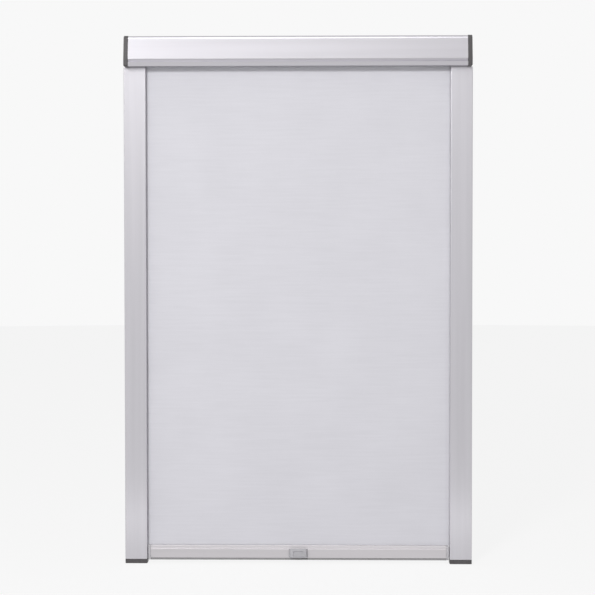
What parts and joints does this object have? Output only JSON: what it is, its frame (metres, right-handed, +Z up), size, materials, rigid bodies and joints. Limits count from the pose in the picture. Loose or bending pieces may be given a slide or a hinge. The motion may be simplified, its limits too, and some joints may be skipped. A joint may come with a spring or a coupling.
{
  "type": "roof window roller blind",
  "caption": "Blackout roller blind for a roof window: aluminium cassette with a spring roller, two side rails, pale cloth, and a bottom bar that slides in the rails.",
  "frame": {"origin": "middle of the cassette's flat back face, halfway along it and halfway up it", "axes": "+Z up along the rails, +X to the right seen from the room, -Y into the room, +Y towards the window"},
  "size_m": [0.613, 0.0405, 0.93],
  "materials": {
    "cassette_aluminium": "satin anodised",
    "rail_aluminium": "satin anodised",
    "bar_aluminium": "satin anodised",
    "tube_aluminium": "mill finish",
    "cap_plastic": "fine moulded texture",
    "plug_plastic": "moulded",
    "glide_plastic": "moulded",
    "handle_plastic": "satin moulded",
    "nylon": "natural",
    "seal_rubber": "matt",
    "zinc_steel": "zinc plated",
    "spring_steel": "oiled",
    "blackout_cloth": "fine plain weave, coated",
    "pad_felt": "felt"
  },
  "bodies": {
    "frame": {"cassette_profile": "cassette_aluminium", "end_cap_left": "cap_plastic", "end_cap_right": "cap_plastic", "cap_screw_left_upper": "zinc_steel", "cap_screw_left_lower": "zinc_steel", "cap_screw_right_upper": "zinc_steel", "cap_screw_right_lower": "zinc_steel", "rail_left": "rail_aluminium", "rail_right": "rail_aluminium", "rail_foot_left": "cap_plastic", "rail_foot_right": "cap_plastic", "idle_bush": "nylon", "spring_shaft": "zinc_steel", "shaft_collar": "zinc_steel", "shaft_clip": "spring_steel", "torsion_spring": "spring_steel", "blackout_fabric": "blackout_cloth"},
    "bar": {"bottom_bar": "bar_aluminium", "bar_seal": "seal_rubber", "hem_rod": "nylon", "pull_handle": "handle_plastic", "glide_left": "glide_plastic", "glide_right": "glide_plastic", "brake_spring_left": "spring_steel", "brake_spring_right": "spring_steel", "brake_pad_left": "pad_felt", "brake_pad_right": "pad_felt"},
    "roller": {"roller_tube": "tube_aluminium", "fabric_winding": "blackout_cloth", "fabric_keder": "nylon", "idle_plug": "plug_plastic", "idle_pin": "zinc_steel", "bearing_plug": "plug_plastic", "spring_driver": "plug_plastic"}
  },
  "joints": [
    {"name": "bar_slide", "type": "slide", "parent": "frame", "child": "bar", "axis": [0, 0, 1], "range_m": [0, 0.8425], "deforming": ["blackout_fabric"]},
    {"name": "roller_turn", "type": "hinge", "parent": "frame", "child": "roller", "pos_m": [0, -0.02046, 0.002], "axis": [1, 0, 0], "range_deg": [0, 3800], "deforming": ["torsion_spring"]}
  ],
  "couplings": [
    {"joint": "roller_turn", "follows": "bar_slide", "rad_per_m": 78.67}
  ]
}
